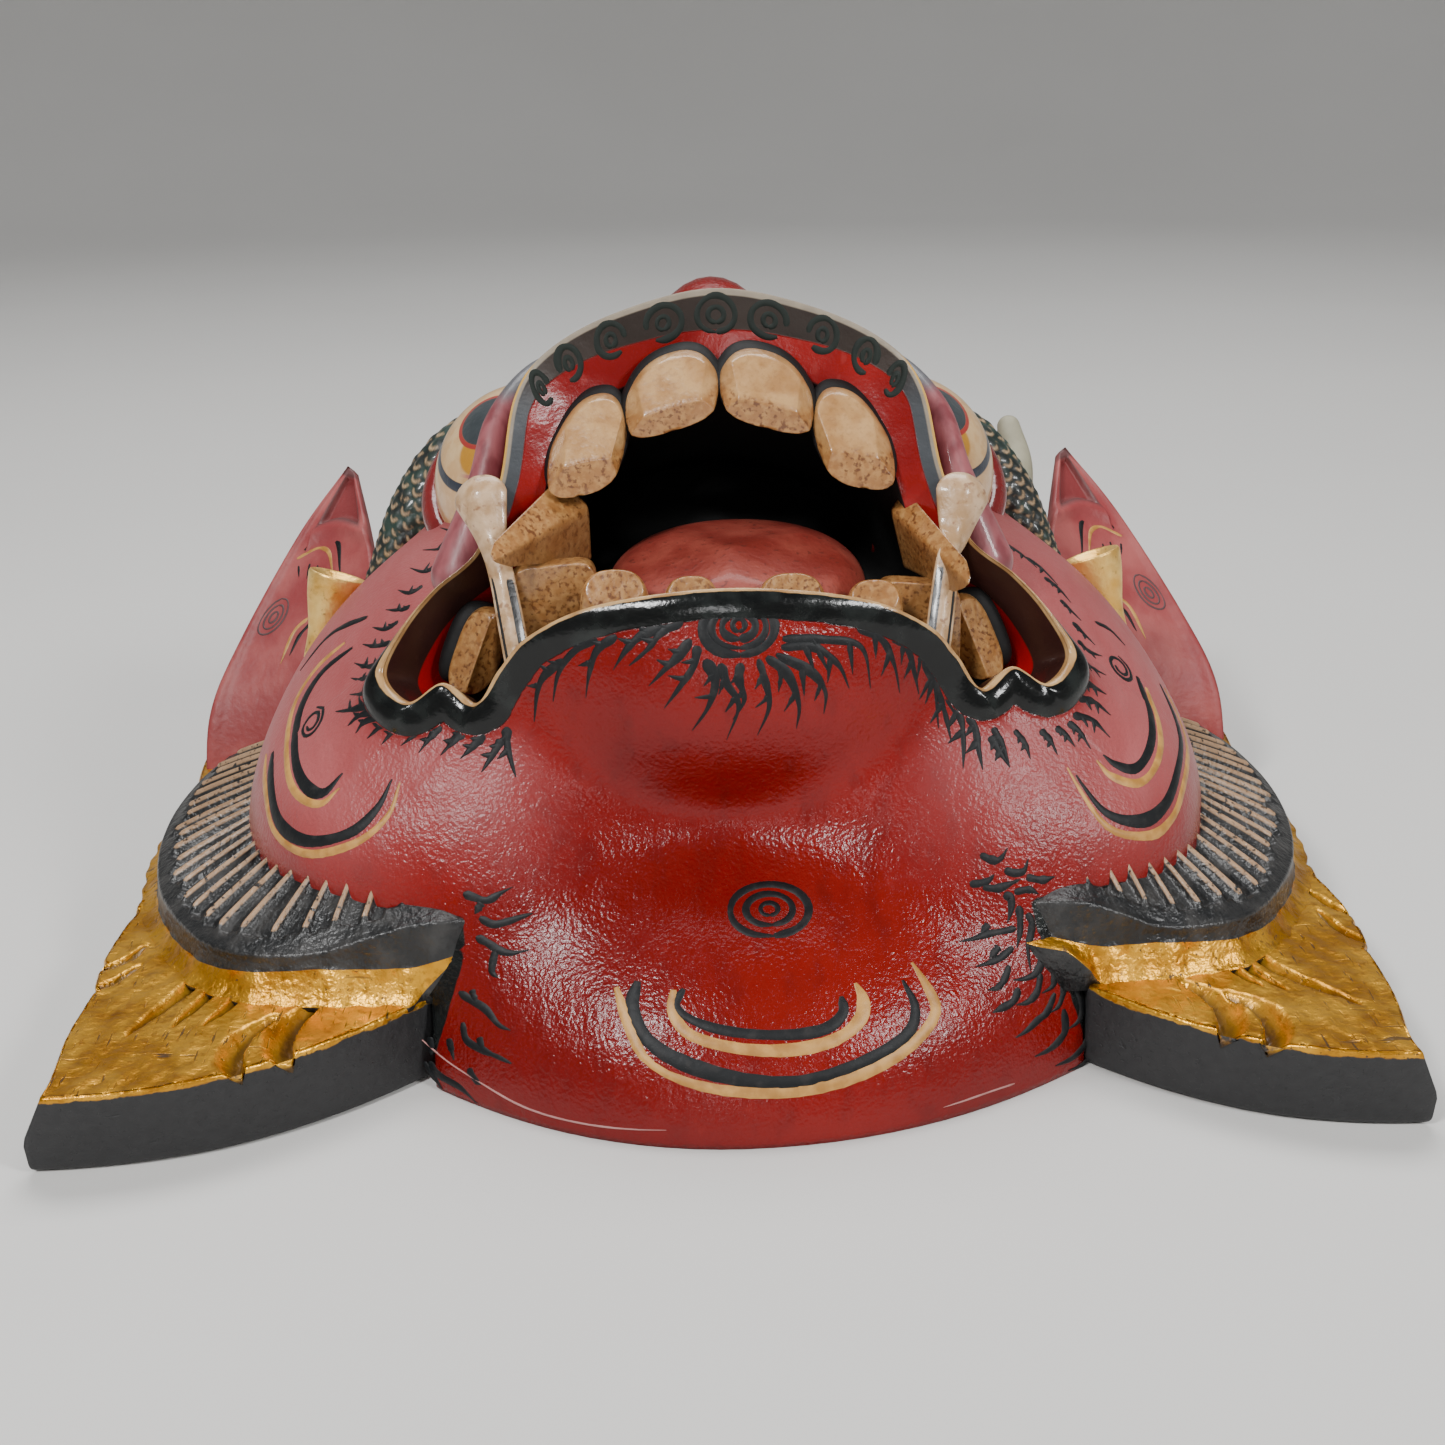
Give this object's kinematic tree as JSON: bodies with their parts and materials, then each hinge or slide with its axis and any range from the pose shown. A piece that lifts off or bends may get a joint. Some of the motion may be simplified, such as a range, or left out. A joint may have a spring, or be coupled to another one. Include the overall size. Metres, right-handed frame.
{
  "type": "carved guardian mask",
  "caption": "Carved and painted wooden guardian mask with an open fanged mouth, ribbed cheek fans and gilded leaf boards, hollow behind, lying on its back.",
  "frame": {"origin": "on the surface that the back of the mask rests on, under the middle of the box round the mask", "axes": "+Z out of the face, +Y from the chin to the crown, +X to the right of someone who looks at the mask from its chin end"},
  "size_m": [0.3286, 0.323, 0.178],
  "materials": {
    "red_lacquer": "glossy brushed lacquer over wood",
    "leaf_gold": "worn gold leaf over wood, matte black edges",
    "black_paint": "satin black paint over wood",
    "ivory_paint": "speckled ivory paint, varnished",
    "green_paint": "dark green paint, varnished"
  },
  "bodies": {
    "root": {"head": "red_lacquer", "left_board": "leaf_gold", "right_board": "leaf_gold"}
  },
  "joints": []
}
